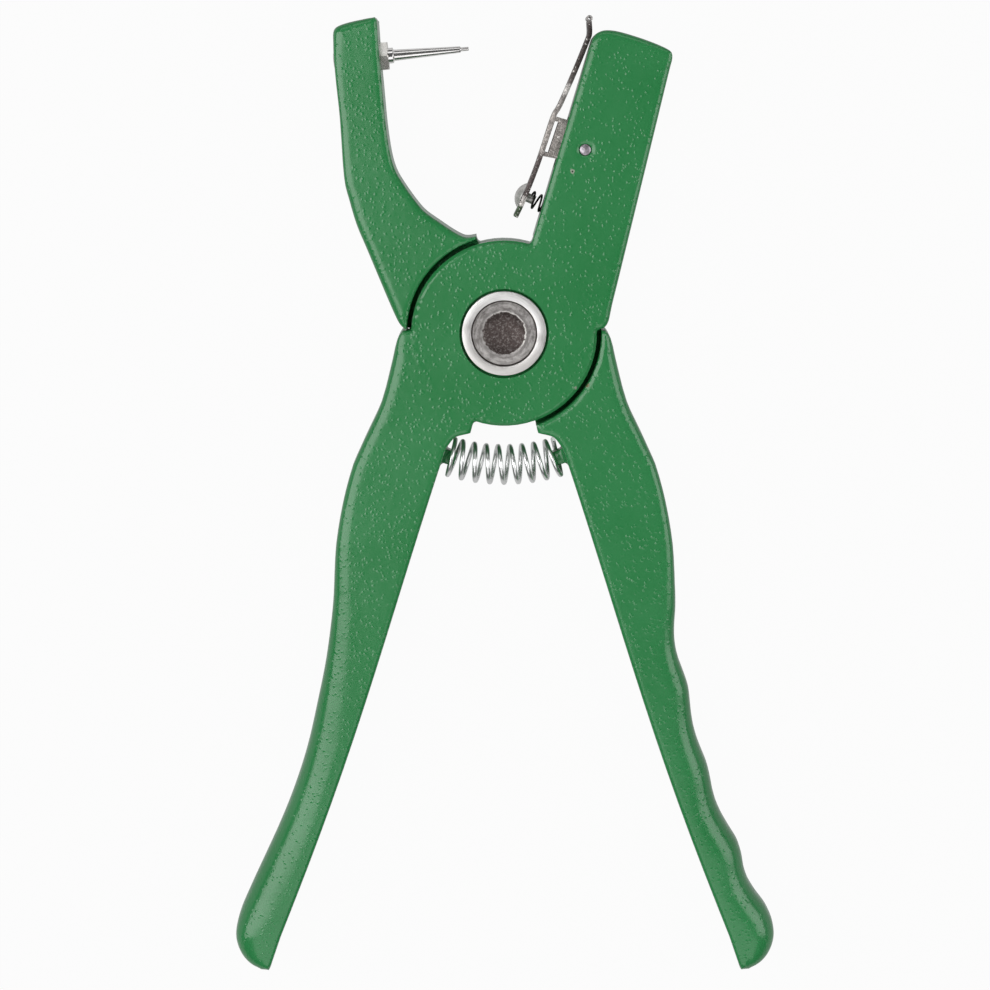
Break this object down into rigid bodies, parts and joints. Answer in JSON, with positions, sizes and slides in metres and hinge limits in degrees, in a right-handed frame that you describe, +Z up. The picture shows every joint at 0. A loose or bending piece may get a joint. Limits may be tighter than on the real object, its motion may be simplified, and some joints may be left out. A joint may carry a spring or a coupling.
{
  "type": "ear tag applicator",
  "caption": "Hand plier that sets two-piece livestock ear tags: cast levers on a lapped pivot, a taper pin on one jaw and a sprung clip on the other.",
  "frame": {"origin": "where the pivot axis meets the plane that the tool lies on", "axes": "+X across the tool, toward the clip's jaw; +Y from the pivot to the jaws; +Z up along the pivot axis, toward the washer"},
  "size_m": [0.1438, 0.2509, 0.0182],
  "materials": {
    "green_cast": "glossy green powder coat with a pebbled skin on cast aluminium",
    "dark_steel": "rough struck end of the pivot pin",
    "turned_steel": "turned satin ring",
    "plated_wire": "bright plated spring wire",
    "polished_steel": "polished steel",
    "plated_steel": "plated sheet, a little mottled",
    "dark_wire": "dark spring wire"
  },
  "bodies": {
    "front_half": {"front_lever": "green_cast", "pivot_pin": "dark_steel", "pivot_washer": "turned_steel", "handle_spring": "plated_wire", "clip_axle": "polished_steel", "clip_spring": "dark_wire"},
    "rear_half": {"rear_lever": "green_cast", "applicator_pin": "polished_steel", "pin_nut": "plated_steel"},
    "clip": {"clip_lever": "plated_steel", "clip_rivet": "polished_steel"}
  },
  "joints": [
    {"name": "pivot", "type": "hinge", "parent": "front_half", "child": "rear_half", "pos_m": [0, 0, 0.009], "axis": [0, 0, -1], "range_deg": [0, 22], "stiffness_Nm_per_rad": 1.5, "springref_deg": -28.65, "deforming": ["handle_spring"]},
    {"name": "clip_hinge", "type": "hinge", "parent": "front_half", "child": "clip", "pos_m": [0.0209, 0.04719, 0.009], "axis": [0, 0, 1], "range_deg": [0, 11], "stiffness_Nm_per_rad": 0.2, "springref_deg": -17.19, "deforming": ["clip_spring"]}
  ]
}
